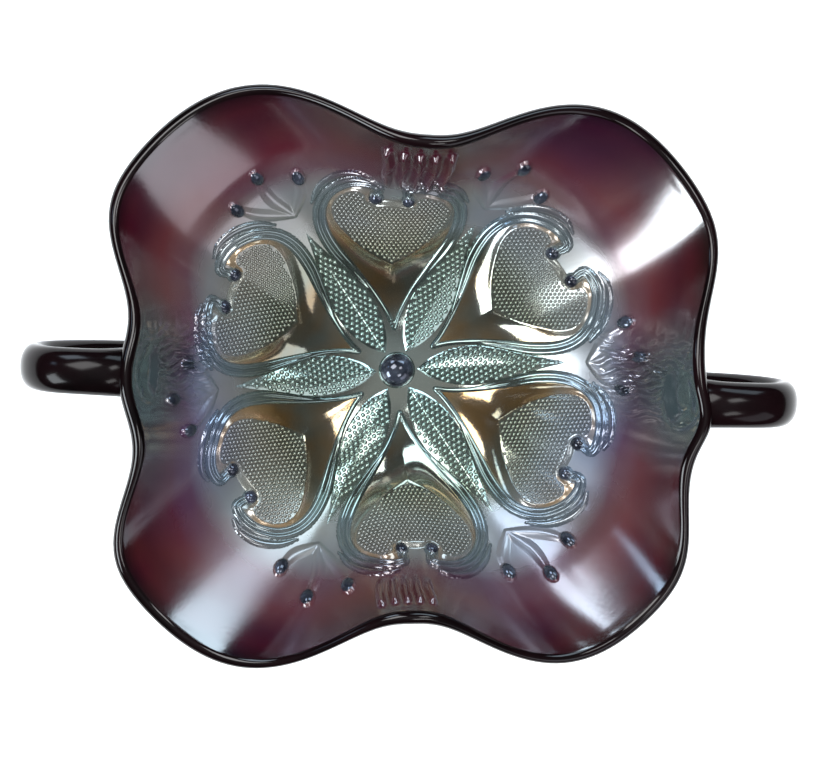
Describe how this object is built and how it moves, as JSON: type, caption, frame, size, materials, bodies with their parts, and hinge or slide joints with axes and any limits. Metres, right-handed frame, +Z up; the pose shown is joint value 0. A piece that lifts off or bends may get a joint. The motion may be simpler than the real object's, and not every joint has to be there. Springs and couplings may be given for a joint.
{
  "type": "footed glass bonbon bowl",
  "caption": "Footed glass bowl with a crimped, lobed rim, loop handles and a raised heart and petal pattern inside, in dark iridescent glass.",
  "frame": {"origin": "centre of the foot's resting ring, on the surface the bowl stands on", "axes": "+Z up through the stem, +X towards the right handle, so the two handles lie along X and the pinched dips in the rim face +Y and -Y"},
  "size_m": [0.1895, 0.1402, 0.095],
  "materials": {
    "dark_glass": "gloss",
    "iridised_glass": "satin iridescent"
  },
  "bodies": {
    "root": {"bowl": "dark_glass", "handle_left": "dark_glass", "handle_right": "dark_glass", "stem": "dark_glass", "foot": "dark_glass", "centre_boss": "iridised_glass", "petal_1": "iridised_glass", "petal_2": "iridised_glass", "petal_3": "iridised_glass", "petal_4": "iridised_glass", "petal_5": "iridised_glass", "petal_6": "iridised_glass", "heart_field_1": "iridised_glass", "heart_field_2": "iridised_glass", "heart_field_3": "iridised_glass", "heart_field_4": "iridised_glass", "heart_field_5": "iridised_glass", "heart_field_6": "iridised_glass", "heart_scroll_1": "iridised_glass", "heart_scroll_2": "iridised_glass", "heart_scroll_3": "iridised_glass", "heart_scroll_4": "iridised_glass", "heart_scroll_5": "iridised_glass", "heart_scroll_6": "iridised_glass", "spray_1": "iridised_glass", "spray_2": "iridised_glass", "spray_3": "iridised_glass", "spray_4": "iridised_glass", "spray_5": "iridised_glass", "spray_6": "iridised_glass"}
  },
  "joints": []
}
